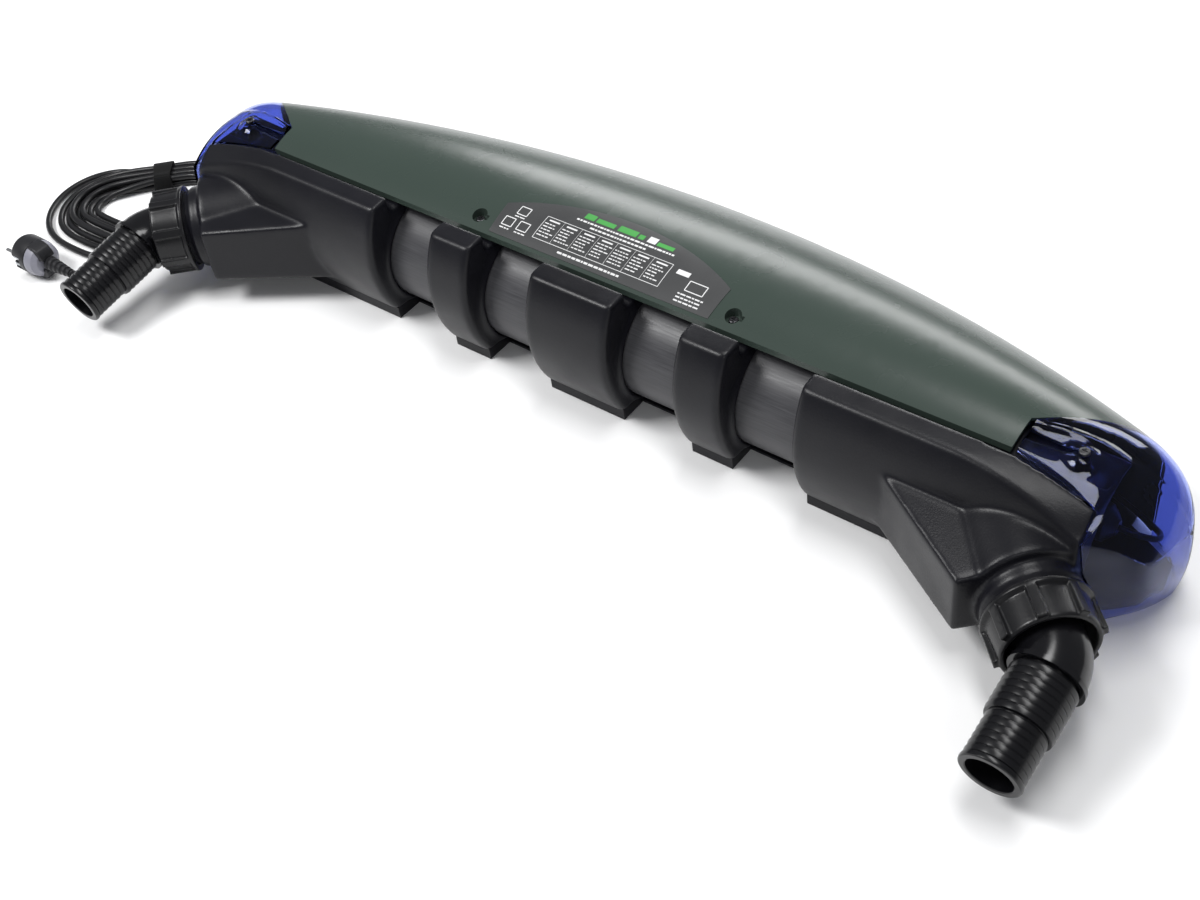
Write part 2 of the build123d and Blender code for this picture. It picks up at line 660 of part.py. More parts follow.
# ---------------------------------------------------------------- mains cord, hank and plug
HANK_TOP = 15.5              # two layers of cord
LEAD_OUT = [gland_point(RELIEF_END), gland_point(RELIEF_END + 16), (-432, 161, 16), (-452, 168, 9),
            (-474, 162, 5), (-493, 146, 4), (-508, 124, 4), (-523, 96, 4), (-537, 64, 4), (-545, 28, 4),
            (-536, -8, 4), (-534, -38, 4)]
HANK_OUTER = [(-621, 11), (-586, 25), (-551, 10), (-536, -25), (-534, -55), (-536, -85), (-546, -119),
              (-573, -146), (-610, -157), (-648, -160), (-696, -138), (-722, -84), (-706, -45), (-667, -22),
              (-646, -14)]
HANK_INNER = [(-598, -12), (-577, -9), (-568, -25), (-572, -50), (-568, -80), (-576, -96), (-595, -101),
              (-640, -99), (-652, -94), (-656, -84), (-652, -74), (-618, -30)]
TIE_MIDDLE = (-629, -19, 0)
TIE_ALONG = (0.722, 0.692, 0)
PLUG_Y, PLUG_Z, PLUG_R, PLUG_BACK = -197.0, 20.0, 19.5, -604.0
PLUG_RELIEF = 38.0
PLUG_CORD = [(PLUG_BACK + PLUG_RELIEF, PLUG_Y, PLUG_Z), (-555, PLUG_Y, PLUG_Z), (-542, -192, 17),
             (-532, -182, 13), (-527, -169, 9), (-527, -155, 6.5), (-529, -133, 4.5), (-533, -108, 5),
             (-536, -84, 8), (-536.5, -62, 11)]


def cord_hank():
    """Outer shape of the wound cord."""
    outer = make_face(Spline(*HANK_OUTER, periodic=True))
    inner = make_face(Spline(*HANK_INNER, periodic=True))
    return extrude(outer, HANK_TOP) - extrude(inner, HANK_TOP)


def cord_tie():
    """Hook-and-loop strap round the hank's straight side."""
    across = Plane(origin=TIE_MIDDLE, x_dir=TIE_ALONG, z_dir=(0, 0, 1))
    strap = across * Pos(0, 0, HANK_TOP / 2 + 0.8) * Box(20, 37, HANK_TOP + 1.6)
    return (strap - cord_hank()).solids().sort_by(SortBy.VOLUME)[-1]


def plug_frame(forward):
    """Frame at the plug's back face: Z runs out to the pins, or back along the strain relief."""
    return Plane(origin=(PLUG_BACK, PLUG_Y, PLUG_Z), x_dir=(0, 0, 1), z_dir=(-forward, 0, 0))


def plug_body():
    body = turned([(0, 0), (11, 0), (PLUG_R, 11), (PLUG_R, 34), (16, 42), (0, 42)], plug_frame(1))
    for side in (-1, 1):
        body = body - rod_x(2.5, PLUG_BACK - 60, PLUG_BACK - 22, y=PLUG_Y + side * 9.5, z=PLUG_Z)
    return body


def plug_relief():
    return turned([(0, 0.05), (7.5, 0.05), (4.6, PLUG_RELIEF), (0, PLUG_RELIEF)], plug_frame(-1))


def plug_pins():
    return Compound([rod_x(2.4, PLUG_BACK - 61, PLUG_BACK - 22, y=PLUG_Y + side * 9.5, z=PLUG_Z)
                     for side in (-1, 1)])


def main():
    os.makedirs("parts", exist_ok=True)
    save("base_tray", base_tray())
    save("top_cover", top_cover())
    save("label_plate", label_plate())
    save("cover_seal", cover_seal())
    save_pair("end_cap", end_cap())
    save_pair("end_housing", end_housing())
    save_pair("bracket", bracket(*SMALL_X, (COVER_SCREW[0],), FOOT_SCREWS["small"]))
    save("centre_bracket", bracket(-CENTRE_HALF, CENTRE_HALF, (), [25.0, -25.0]))
    save("reactor_tube", reactor_tube())
    save_pair("end_plate", end_plate())
    save("quartz_sleeve", quartz_sleeve())
    save_pair("sleeve_seal", sleeve_seal())
    save_pair("thrust_ring", thrust_ring())
    save_pair("sleeve_nut", sleeve_nut())
    save("uv_lamp", uv_lamp())
    save_pair("lamp_base", lamp_base())
    save_pair("lamp_holder", lamp_holder())
    save_pair("lamp_lead", cord_tube("lamp_lead", LEAD_ROUTE, LEAD_R))
    save_pair("port_seal", port_seal())
    save_pair("union_nut", union_nut())
    save_pair("swivel_elbow", swivel_elbow())
    save_pair("hosetail", hosetail())
    save("ballast", ballast())
    save("terminal_block", terminal_block())
    save("cover_screws", cover_screws())
    save_pair("cap_screw", cap_screw())
    save("foot_screws", foot_screws())
    save("ballast_screws", ballast_screws())
    save("cable_gland", cable_gland())
    save("gland_nut", gland_nut())
    save("strain_relief", strain_relief())
    save("supply_lead", supply_lead())
    save("ballast_lead", cord_tube("ballast_lead", BALLAST_LEAD, LEAD_R))
    save("mains_cord", cord_tube("mains_cord", LEAD_OUT, CORD_R))
    save("cord_hank", cord_hank())
    save("cord_tie", cord_tie())
    save("plug_cord", cord_tube("plug_cord", PLUG_CORD, CORD_R))
    save("plug_relief", plug_relief())
    save("plug_body", plug_body())
    save("plug_pins", plug_pins())


main()
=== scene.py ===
import bmesh
import bpy
import json
import math
import random
from mathutils import Matrix, Vector


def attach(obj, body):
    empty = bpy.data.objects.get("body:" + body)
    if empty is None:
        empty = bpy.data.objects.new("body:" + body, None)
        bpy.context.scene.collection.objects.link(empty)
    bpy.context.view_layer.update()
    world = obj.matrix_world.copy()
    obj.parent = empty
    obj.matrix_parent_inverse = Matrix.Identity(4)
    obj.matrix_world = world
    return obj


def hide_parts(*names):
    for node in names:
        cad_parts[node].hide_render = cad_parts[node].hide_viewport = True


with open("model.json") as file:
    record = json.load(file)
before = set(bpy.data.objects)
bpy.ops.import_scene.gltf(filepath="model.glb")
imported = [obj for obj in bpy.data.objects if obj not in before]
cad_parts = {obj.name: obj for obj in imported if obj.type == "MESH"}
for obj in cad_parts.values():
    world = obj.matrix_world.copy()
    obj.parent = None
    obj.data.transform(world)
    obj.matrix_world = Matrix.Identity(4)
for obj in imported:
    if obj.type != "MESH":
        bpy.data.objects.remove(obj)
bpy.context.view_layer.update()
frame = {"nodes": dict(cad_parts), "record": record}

# UV clarifier: a lamp in a 110 mm pipe between two hose ports, under a bow-shaped green cover with clear
# blue end caps.  Metres, +X along the pipe away from the cord, -Y towards the ports, +Z up.
NODES = frame["nodes"]
MM = 0.001
SIDES = (("left", -1), ("right", 1))

CORD_R = 3.5 * MM
BOW_R = 943 * MM               # plan radius of the cover's back, centred at (0, BOW_Y)
BOW_Y = -750 * MM
FRONT_Y = -28 * MM             # the cover's front edge, and how steeply the roof rises from it
FRONT_Z = 128.2 * MM
FRONT_SLOPE = math.radians(23)


# ---------------------------------------------------------------- camera, floor and light
CAMERA_PLACE = (0.7298, -0.8101, 0.9918)
CAMERA_TURN = (43.87, 45.15, -9.03)      # azimuth, elevation and roll, in degrees
CAMERA_LENS = 47.43            # focal length in mm for a sensor 36 mm wide
SENSOR_W = 36
# name, place, target, (width, height), power
LIGHTS = [
    ("key", (-1.3, -1.2, 2.3), (0, 0, 0), (1.1, 0.8), 62),
    ("back_strip", (-0.4, 2.1, 1.0), (0, 0.1, 0.1), (2.8, 0.6), 46),
    ("end_box", (1.7, -1.5, 1.5), (0.5, -0.1, 0.05), (0.5, 0.5), 6),
    ("top_box", (0.3, 0.3, 2.8), (0, 0, 0), (1.8, 0.7), 40),
]
SKY_COLOUR = (0.93, 0.95, 1, 1)
SKY_STRENGTH = 0.24
FLOOR_SIZE = 30
FLOOR_DROP = 0.5 * MM


def studio_camera():
    azimuth, elevation, roll = (math.radians(d) for d in CAMERA_TURN)
    back = Vector((math.sin(azimuth) * math.cos(elevation), -math.cos(azimuth) * math.cos(elevation),
                   math.sin(elevation)))
    level = Vector((math.cos(azimuth), math.sin(azimuth), 0))
    rise = back.cross(level)
    right = level * math.cos(roll) + rise * math.sin(roll)
    up = rise * math.cos(roll) - level * math.sin(roll)
    data = bpy.data.cameras.new("camera")
    data.sensor_width = SENSOR_W
    data.lens = CAMERA_LENS
    data.clip_end = 50
    camera = bpy.data.objects.new("camera", data)
    turn = Matrix((right, up, back)).transposed().to_4x4()
    camera.matrix_world = Matrix.Translation(CAMERA_PLACE) @ turn
    bpy.context.scene.collection.objects.link(camera)
    bpy.context.scene.camera = camera


def area_light(name, place, target, size, power):
    data = bpy.data.lights.new(name, "AREA")
    data.shape = "RECTANGLE"
    data.size, data.size_y = size
    data.energy = power
    light = bpy.data.objects.new(name, data)
    light.location = place
    aim = Vector(target) - Vector(place)
    light.rotation_euler = aim.to_track_quat("-Z", "Y").to_euler()
    bpy.context.scene.collection.objects.link(light)


def studio():
    bpy.ops.mesh.primitive_plane_add(size=FLOOR_SIZE, location=(0, 0, -FLOOR_DROP))
    floor = bpy.context.object
    floor.name = "floor"
    floor.data.materials.append(simple_material("floor", (0.9, 0.9, 0.9), 0.7))
    for light in LIGHTS:
        area_light(*light)
    world = bpy.data.worlds.new("studio")
    world.use_nodes = True
    sky = world.node_tree.nodes["Background"]
    sky.inputs["Color"].default_value = SKY_COLOUR
    sky.inputs["Strength"].default_value = SKY_STRENGTH
    bpy.context.scene.world = world
    bpy.context.scene.view_settings.view_transform = "Standard"


# ---------------------------------------------------------------- material helpers
class Nodes:
    """Short calls for building one material's node tree."""

    def __init__(self, name):
        self.material = bpy.data.materials.new(name)
        self.material.use_nodes = True
        self.tree = self.material.node_tree
        self.shader = self.tree.nodes["Principled BSDF"]
        self.place = self.add("ShaderNodeTexCoord").outputs["Object"]

    def add(self, kind, **settings):
        node = self.tree.nodes.new(kind)
        for key, value in settings.items():
            setattr(node, key, value)
        return node

    def link(self, source, target):
        self.tree.links.new(source, target)

    def set(self, **values):
        for key, value in values.items():
            self.shader.inputs[key.replace("_", " ")].default_value = value

    def stretched(self, scale):
        mapping = self.add("ShaderNodeMapping")
        mapping.inputs["Scale"].default_value = scale
        self.link(self.place, mapping.inputs["Vector"])
        return mapping.outputs["Vector"]

    def noise(self, scale, detail=2.0, place=None):
        noise = self.add("ShaderNodeTexNoise")
        noise.inputs["Scale"].default_value = scale
        noise.inputs["Detail"].default_value = detail
        self.link(place or self.place, noise.inputs["Vector"])
        return noise.outputs["Fac"]

    def cells(self, scale):
        cells = self.add("ShaderNodeTexVoronoi")
        cells.inputs["Scale"].default_value = scale
        self.link(self.place, cells.inputs["Vector"])
        return cells.outputs["Distance"]

    def spread(self, factor, low, high):
        """A value from low to high as a texture goes over its middle range."""
        ramp = self.add("ShaderNodeMapRange")
        ramp.inputs["From Min"].default_value = 0.3
        ramp.inputs["From Max"].default_value = 0.7
        ramp.inputs["To Min"].default_value = low
        ramp.inputs["To Max"].default_value = high
        self.link(factor, ramp.inputs["Value"])
        return ramp.outputs["Result"]

    def mix(self, factor, first, second):
        mix = self.add("ShaderNodeMix", data_type="RGBA")
        mix.inputs["A"].default_value = (*first, 1)
        mix.inputs["B"].default_value = (*second, 1)
        self.link(factor, mix.inputs["Factor"])
        return mix.outputs["Result"]

    def bump(self, height, depth, before=None):
        bump = self.add("ShaderNodeBump")
        bump.inputs["Strength"].default_value = 1.0
        bump.inputs["Distance"].default_value = depth
        self.link(height, bump.inputs["Height"])
        if before is not None:
            self.link(before, bump.inputs["Normal"])
        return bump.outputs["Normal"]


def simple_material(name, colour, roughness):
    """Plain matt surface for the floor."""
    made = Nodes(name)
    made.set(Base_Color=(*colour, 1), Roughness=roughness)
    uneven = made.spread(made.noise(3), roughness - 0.04, roughness + 0.04)
    made.link(uneven, made.shader.inputs["Roughness"])
    return made.material


def moulded(name, dark, light, roughness, grain_scale, grain_depth, uneven=0.05, specular=0.5):
    """Moulded plastic: slow colour drift, uneven gloss and a fine surface grain."""
    made = Nodes(name)
    made.set(Specular_IOR_Level=specular)
    made.link(made.mix(made.spread(made.noise(9, 3), 0, 1), dark, light), made.shader.inputs["Base Color"])
    made.link(made.spread(made.noise(28, 4), roughness - uneven, roughness + uneven),
              made.shader.inputs["Roughness"])
    fine = made.bump(made.noise(grain_scale, 3), grain_depth)
    grain = made.bump(made.cells(grain_scale * 0.6), grain_depth * 0.6, fine)
    made.link(grain, made.shader.inputs["Normal"])
    return made.material


def pipe_material():
    """Drawn pipe: fine lines along its length."""
    made = Nodes("drawn_pipe")
    made.set(Specular_IOR_Level=0.3)
    drawn = made.noise(1, 3, made.stretched((35, 900, 900)))
    made.link(made.mix(made.spread(drawn, 0, 1), (0.044, 0.044, 0.048), (0.066, 0.066, 0.071)),
              made.shader.inputs["Base Color"])
    made.link(made.spread(drawn, 0.3, 0.44), made.shader.inputs["Roughness"])
    made.link(made.bump(drawn, 0.00003), made.shader.inputs["Normal"])
    return made.material


def clear_blue():
    """Clear tinted plastic; its low index keeps the floor's reflection from veiling the colour."""
    made = Nodes("clear_blue")
    made.set(Transmission_Weight=1.0, Roughness=0.02, IOR=1.3, Specular_IOR_Level=0.4)
    made.link(made.mix(made.spread(made.noise(14, 2), 0, 1), (0.21, 0.27, 0.67), (0.24, 0.30, 0.72)),
              made.shader.inputs["Base Color"])
    made.link(made.bump(made.noise(30, 2), 0.00002), made.shader.inputs["Normal"])
    return made.material


def glass(name, colour, roughness):
    """Clear glass with a trace of unevenness in its colour and gloss."""
    made = Nodes(name)
    made.set(Transmission_Weight=1.0, IOR=1.46)
    made.link(made.mix(made.noise(20), colour, [min(1, c * 1.04) for c in colour]),
              made.shader.inputs["Base Color"])
    made.link(made.spread(made.noise(60), roughness, roughness + 0.03), made.shader.inputs["Roughness"])
    return made.material


def metal(name, dark, light, roughness, scale):
    """Bare metal: one fine grain drives its colour, gloss and relief."""
    made = Nodes(name)
    made.set(Metallic=1.0)
    grain = made.noise(scale, 4)
    made.link(made.mix(made.spread(grain, 0, 1), dark, light), made.shader.inputs["Base Color"])
    made.link(made.spread(grain, roughness - 0.07, roughness + 0.07), made.shader.inputs["Roughness"])
    made.link(made.bump(grain, 0.00002), made.shader.inputs["Normal"])
    return made.material


def woven(name, dark, light, pitch):
    """Narrow-woven strap: two crossed waves of thread."""
    made = Nodes(name)
    made.set(Roughness=0.9, Sheen_Weight=0.04, Specular_IOR_Level=0.15)
    waves = []
    for direction in ("X", "Z"):
        wave = made.add("ShaderNodeTexWave", bands_direction=direction)
        wave.inputs["Scale"].default_value = 1 / pitch / 3.14
        wave.inputs["Distortion"].default_value = 0.6
        made.link(made.place, wave.inputs["Vector"])
        waves.append(wave.outputs["Fac"])
    both = made.add("ShaderNodeMath", operation="MULTIPLY")
    made.link(waves[0], both.inputs[0])
    made.link(waves[1], both.inputs[1])
    made.link(made.mix(both.outputs[0], dark, light), made.shader.inputs["Base Color"])
    made.link(made.bump(both.outputs[0], 0.0003), made.shader.inputs["Normal"])
    return made.material


def make_materials():
    return {
        "green_cover": moulded("green_cover", (0.034, 0.049, 0.041), (0.0355, 0.051, 0.0425), 0.27,
                               1800, 0.000006, uneven=0.008, specular=0.3),
        "black_moulding": moulded("black_moulding", (0.004, 0.004, 0.006), (0.006, 0.006, 0.009), 0.36, 900,
                                  0.00007, specular=0.27),
        "black_pipe": pipe_material(),
        "gloss_black": moulded("gloss_black", (0.003, 0.003, 0.004), (0.005, 0.005, 0.006), 0.17, 120,
                               0.00002, specular=0.4),
        "nut_black": moulded("nut_black", (0.005, 0.005, 0.006), (0.008, 0.008, 0.009), 0.30, 1100, 0.00005,
                             specular=0.3),
        "blue_clear": clear_blue(),
        "label": moulded("label", (0.030, 0.031, 0.032), (0.036, 0.037, 0.038), 0.42, 1500, 0.00002),
        "label_ink": moulded("label_ink", (0.62, 0.62, 0.62), (0.72, 0.72, 0.72), 0.45, 1500, 0.00001),
        "label_green": moulded("label_green", (0.035, 0.26, 0.04), (0.045, 0.32, 0.05), 0.45, 1500, 0.00001),
        "seal_rubber": moulded("seal_rubber", (0.010, 0.010, 0.011), (0.02, 0.02, 0.02), 0.6, 1500,
                               0.00005),
        "quartz": glass("quartz", (0.95, 0.97, 0.98), 0.02),
        "lamp_glass": glass("lamp_glass", (0.93, 0.95, 0.97), 0.25),
        "steel": metal("steel", (0.45, 0.45, 0.46), (0.62, 0.62, 0.62), 0.35, 700),
        "aluminium": metal("aluminium", (0.62, 0.62, 0.63), (0.75, 0.75, 0.76), 0.32, 500),
        "dark_steel": metal("dark_steel", (0.05, 0.05, 0.055), (0.12, 0.12, 0.125), 0.36, 900),
        "ballast_case": moulded("ballast_case", (0.62, 0.62, 0.60), (0.70, 0.70, 0.68), 0.38, 300, 0.00003),
        "cream_plastic": moulded("cream_plastic", (0.62, 0.58, 0.48), (0.70, 0.66, 0.55), 0.45, 800,
                                 0.00004),
        "cord_rubber": moulded("cord_rubber", (0.007, 0.007, 0.008), (0.011, 0.011, 0.012), 0.34, 700,
                               0.00005, specular=0.3),
        "strap_fabric": woven("strap_fabric", (0.003, 0.003, 0.003), (0.010, 0.010, 0.011), 0.0011),
        "plug_rubber": moulded("plug_rubber", (0.012, 0.012, 0.014), (0.018, 0.018, 0.02), 0.42, 900,
                               0.00008, specular=0.3),
        "plug_grey": moulded("plug_grey", (0.20, 0.20, 0.24), (0.25, 0.25, 0.29), 0.40, 900, 0.00006),
        "earth_metal": metal("earth_metal", (0.36, 0.38, 0.40), (0.48, 0.50, 0.52), 0.38, 500),
        "tail_black": moulded("tail_black", (0.003, 0.003, 0.004), (0.005, 0.005, 0.006), 0.25, 300, 0.00001,
                              uneven=0.008, specular=0.35),
        "pin_metal": metal("pin_metal", (0.7, 0.7, 0.7), (0.85, 0.85, 0.84), 0.2, 400),
    }


# ---------------------------------------------------------------- mesh helpers
def keep_piece(piece, body, material, replaced=()):
    """Puts a finished piece on its CAD body, with its material and what it stands for."""
    piece.data.materials.clear()
    piece.data.materials.append(material)
    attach(piece, body)
    if replaced:
        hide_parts(*replaced)
    return piece


def new_object(name, data):
    piece = bpy.data.objects.new(name, data)
    bpy.context.scene.collection.objects.link(piece)
    return piece


def mesh_object(name, points, faces, weld=0):
    """Mesh piece with its faces turned outward, and points nearer than weld joined."""
    mesh = bpy.data.meshes.new(name)
    mesh.from_pydata([tuple(p) for p in points], [], faces)
    mesh.validate()
    build = bmesh.new()
    build.from_mesh(mesh)
    if weld:
        bmesh.ops.remove_doubles(build, verts=build.verts, dist=weld)
    bmesh.ops.recalc_face_normals(build, faces=build.faces)
    build.to_mesh(mesh)
    build.free()
    return new_object(name, mesh)


def rings_object(name, rings, closed=False):
    """Skin over rings of equal length, with its ends closed unless the rings form a loop."""
    size = len(rings[0])
    points = [p for ring in rings for p in ring]
    faces = []
    for i in range(len(rings) if closed else len(rings) - 1):
        here, there = i * size, (i + 1) % len(rings) * size
        for j in range(size):
            k = (j + 1) % size
            faces.append((here + j, here + k, there + k, there + j))
    if not closed:
        faces.append(tuple(range(size)))
        faces.append(tuple(range(len(points) - size, len(points))))
    return mesh_object(name, points, faces)


def shade_by_angle(piece, degrees):
    """Smooth shading that keeps edges sharper than the angle crisp."""
    for face in piece.data.polygons:
        face.use_smooth = True
    piece.data.set_sharp_from_angle(angle=math.radians(degrees))


def prism_tool(points, low, high):
    """Upright prism used to cut a piece."""
    base = [Vector((x, y, low)) for x, y in points]
    top = [Vector((x, y, high)) for x, y in points]
    return rings_object("tool", [base, top])


def cut(piece, tools):
    """Takes the tools' shapes out of a piece and leaves plain geometry."""
    for tool in tools:
        boolean = piece.modifiers.new("cut", "BOOLEAN")
        boolean.operation = "DIFFERENCE"
        boolean.solver = "EXACT"
        boolean.object = tool
    apply_modifiers(piece)
    for tool in tools:
        bpy.data.objects.remove(tool)


def apply_modifiers(piece):
    """Turns what the modifiers make into the piece's own mesh."""
    bpy.context.view_layer.update()
    graph = bpy.context.evaluated_depsgraph_get()
    mesh = bpy.data.meshes.new_from_object(piece.evaluated_get(graph))
    piece.modifiers.clear()
    piece.data = mesh


def circle_points(centre, radius, count=28):
    return [(centre[0] + radius * math.cos(a), centre[1] + radius * math.sin(a))
            for a in (2 * math.pi * i / count for i in range(count))]


# ---------------------------------------------------------------- mains cord
# The cable gland's axis runs out through the back wall.
GLAND = Vector((-400, 103.97, 22)) * MM
GLAND_OUT = Vector((-0.4242, 0.9056, 0))
RELIEF_END = 30 * MM
GAP = 7.7 * MM                 # from one strand to the next where they are tied
LOW, HIGH = 3.6 * MM, 11.3 * MM    # the two layers of the tied bundle
CLIMB_TURN = 3                 # the turn that ends by climbing to the upper layer
LEAD_OUT = [GLAND + GLAND_OUT * RELIEF_END, GLAND + GLAND_OUT * (RELIEF_END + 16 * MM)] + [
    Vector(p) * MM for p in (
        (-432, 161, 16), (-452, 168, 9), (-474, 162, 5), (-493, 146, 4), (-508, 124, 4), (-523, 96, 4),
        (-537, 64, 4), (-545, 28, 4), (-536, -8, 4), (-534, -38, 4))]
PLUG_CORD = [Vector(p) * MM for p in (
    (-536.5, -62, 11), (-536, -84, 8), (-533, -108, 5), (-529, -133, 4.5), (-527, -155, 6.5),
    (-527, -169, 9), (-532, -182, 13), (-542, -192, 17), (-555, -197, 20), (-566, -197, 20))]
TIE = Vector((-629, -19, 0)) * MM
TIE_ALONG = Vector((0.722, 0.692, 0)).normalized()
TIE_OUT = Vector((-0.692, 0.722, 0)).normalized()
TURNS = 8
# Where each turn lies at the loose end: how far outside the middle turn, and how high.
FAN = [(36, 3.6), (13, 3.6), (2, 3.6), (-11, 3.6), (-19.5, 3.8), (-4.5, 8.2), (7, 9.4), (22, 3.8)]


def arc_stations(centre, radius, start, end, fans, shifts):
    """Places round one bend of the hank, as (middle, outward, fan, shift).

    The fan is 0 in the tied bundle and 1 at the loose end.  The shift goes from 1 towards 2 as a strand
    moves over to the next turn's place.
    """
    stations = []
    for i, (fan, shift) in enumerate(zip(fans, shifts)):
        angle = math.radians(start + (end - start) * i / (len(fans) - 1))
        outward = Vector((math.cos(angle), math.sin(angle), 0))
        stations.append((Vector((*centre, 0)) * MM + outward * radius * MM, outward, fan, shift))
    return stations


def hank_stations():
    """One mean turn of the hank: corner, loose end, tied side, far bend, and back."""
    stations = arc_stations((-590, -82), 38, -12, -90, (0.1, 0.35, 0.7, 0.95), (1, 1, 1, 1))
    stations.append((Vector((-617, -121.5, 0)) * MM, Vector((0, -1, 0)), 1, 1))
    stations += arc_stations((-642, -84), 38, -100, -222, (1, 1, 1, 1, 0.95, 0.8), (1,) * 6)
    for along, fan in ((-34, 0.45), (-14, 0.08), (6, 0)):
        stations.append((TIE + TIE_ALONG * along * MM, TIE_OUT, fan, 1))
    stations += arc_stations((-586, -25), 34, 128, 4, (0,) * 6, (1, 1, 1, 1.05, 1.15, 1.3))
    for y, shift in ((-38, 1.5), (-52, 1.7), (-66, 1.88)):
        stations.append((Vector((-552, y, 0)) * MM, Vector((1, 0, 0)), 0, shift))
    return stations


def bundle_slot(turn):
    """Place of a turn in the tied bundle: four below from the outside in, then four above back out."""
    if turn <= CLIMB_TURN:
        return Vector(((1.5 - turn) * GAP, LOW))
    return Vector(((turn - 5.5) * GAP, HIGH))


def strand_point(turn, station):
    """Control point of one turn: its place in the bundle, mixed with its place at the loose end."""
    middle, outward, fan, shift = station
    moved = shift - 1
    slot = bundle_slot(turn).lerp(bundle_slot(turn + 1), moved)
    if turn == CLIMB_TURN:
        slot.x -= 0.55 * GAP * math.sin(math.pi * moved)
    loose = FAN[turn]
    side = slot.x * (1 - fan) + loose[0] * MM * fan
    height = slot.y + (loose[1] * MM - slot.y) * fan * fan
    return middle + outward * side + Vector((0, 0, height))


def mains_cord_points():
    points = list(LEAD_OUT)
    stations = hank_stations()
    for turn in range(TURNS):
        last = turn == TURNS - 1
        points += [strand_point(turn, s) for s in (stations[:-3] if last else stations)]
    return points + PLUG_CORD


def mains_cord(materials):
    curve = bpy.data.curves.new("mains_lead", "CURVE")
    curve.dimensions = "3D"
    curve.bevel_depth = CORD_R
    curve.bevel_resolution = 5
    curve.resolution_u = 6
    points = mains_cord_points()
    spline = curve.splines.new("NURBS")
    spline.points.add(len(points) - 1)
    for control, place in zip(spline.points, points):
        control.co = (*place, 1)
    spline.order_u = 3
    spline.use_endpoint_u = True
    cord = new_object("mains_lead", curve)
    return keep_piece(cord, "base", materials["cord_rubber"],
                      ("mains_cord", "cord_hank", "plug_cord"))


# ---------------------------------------------------------------- end caps
# Key points are in mm and give the right cap; the left one is its mirror image.
CAP_SKIN = 2.6 * MM
CAP_LIFT = 0.6                 # height of the caps' foot over the floor
CAP_SCREW = (446.2, -12.7, 134.1)
SEAT_R, SEAT_BLEND = 15.5 * MM, 8 * MM       # the level seat round the screw and its soft edge
SLOT_MOUTH_X = 396
CAP_MIDDLE = (430, -2, 45)
PANEL_SWELL_R = 120 * MM       # radii of the arcs that the skin's patches swell to
BACK_SWELL_R = 62 * MM
SKIRT_SWELL_R = 170 * MM
HEEL_SWELL_R = 44 * MM
TAB_LENGTH = 4.2               # key points that the tab's rail and hollow fade over
RAIL_RISE, HOLLOW_DEPTH = 1.5 * MM, 1.6 * MM
COVER_END_X = 398 * MM         # the cover's end cut slants back from here, by COVER_END_SLOPE
COVER_END_SLOPE = 0.65
NOSE_TIP = (528, 9.5, 73)
RIDGE = [(402.6, 1.4, 135.3), (425, 6.5, 135.2), (449, 9.6, 132.6), (462, 10, 130), (480, 10, 124),
         (498, 10, 113.8), (512, 10, 100), (521, 10, 87), (526, 10, 78), NOSE_TIP]
TAB_FRONT = [(401.9, -29.5, 128.3), (430, -35.5, 127), (455, -41.5, 124.9), (471.4, -46.6, 122.7)]
VISOR_EDGE = [(475.8, -73.8, 108.7), (498, -55, 95), (515.5, -43, 82), (522.5, -24, 79.5), (525.5, -6, 77.5),
              NOSE_TIP]
CAP_FOOT = [(x, y, CAP_LIFT) for x, y in (
    (478, -55), (494, -37.5), (508, -21), (516, -8), (520.5, 2), (523, 9.5))]
COVER_EDGE_X = [402.6, 415, 430, 441, 452, 462, 470, 476, 481, 484.5]
CAP_BACK_FOOT = (486.5, 57.8, CAP_LIFT)
PORT_AXIS_START = (355.7, 0, 58.5)
PORT_OPENING_R = 42 * MM
PORT_OPENING_DROP = 70 * MM    # the opening runs this far down from the port's axis
PORT_OPENING_REACH = (100, 152)
STEPS = 6                      # grid columns from one key point to the next
ROWS = 20


def smooth_line(keys, steps=STEPS):
    """Points on a Catmull-Rom line through the key points."""
    keys = [Vector(k) * MM for k in keys]
    points = []
    for i in range(len(keys) - 1):
        before = keys[i - 1] if i else keys[0] * 2 - keys[1]
        after = keys[i + 2] if i + 2 < len(keys) else keys[-1] * 2 - keys[-2]
        a, b = keys[i], keys[i + 1]
        for j in range(steps):
            t = j / steps
            points.append(0.5 * (2 * a + (b - before) * t + (2 * before - 5 * a + 4 * b - after) * t ** 2
                                 + (3 * a - before - 3 * b + after) * t ** 3))
    return points + [keys[-1]]


def bow_y(x):
    return BOW_Y + math.sqrt(BOW_R ** 2 - x ** 2)


def dome_z(x, y):
    """Height of the cover's roof."""
    radius = (bow_y(x) - FRONT_Y) / (1 + math.sin(FRONT_SLOPE))
    middle = FRONT_Y + radius * math.sin(FRONT_SLOPE)
    base = FRONT_Z - radius * math.cos(FRONT_SLOPE)
    return base + math.sqrt(max(radius ** 2 - (y - middle) ** 2, 0))


def cover_edge():
    """Where the cap meets the cover's slanted end."""
    keys = []
    for x in COVER_EDGE_X:
        y = (x * MM - COVER_END_X) * COVER_END_SLOPE / MM + 0.4
        keys.append((x, y, dome_z(x * MM, y * MM) / MM))
    keys[0] = RIDGE[0]
    return smooth_line(keys)


def bulged(a, b, w, radius):
    """Point at w on the arc from a to b that swells away from the cap's middle."""
    chord = (b - a).length
    point = a.lerp(b, w)
    outward = point - Vector(CAP_MIDDLE) * MM
    outward -= (b - a).normalized() * outward.dot((b - a).normalized()) if chord > 1e-6 else Vector()
    return point + outward.normalized() * chord ** 2 / (8 * radius) * 4 * w * (1 - w)


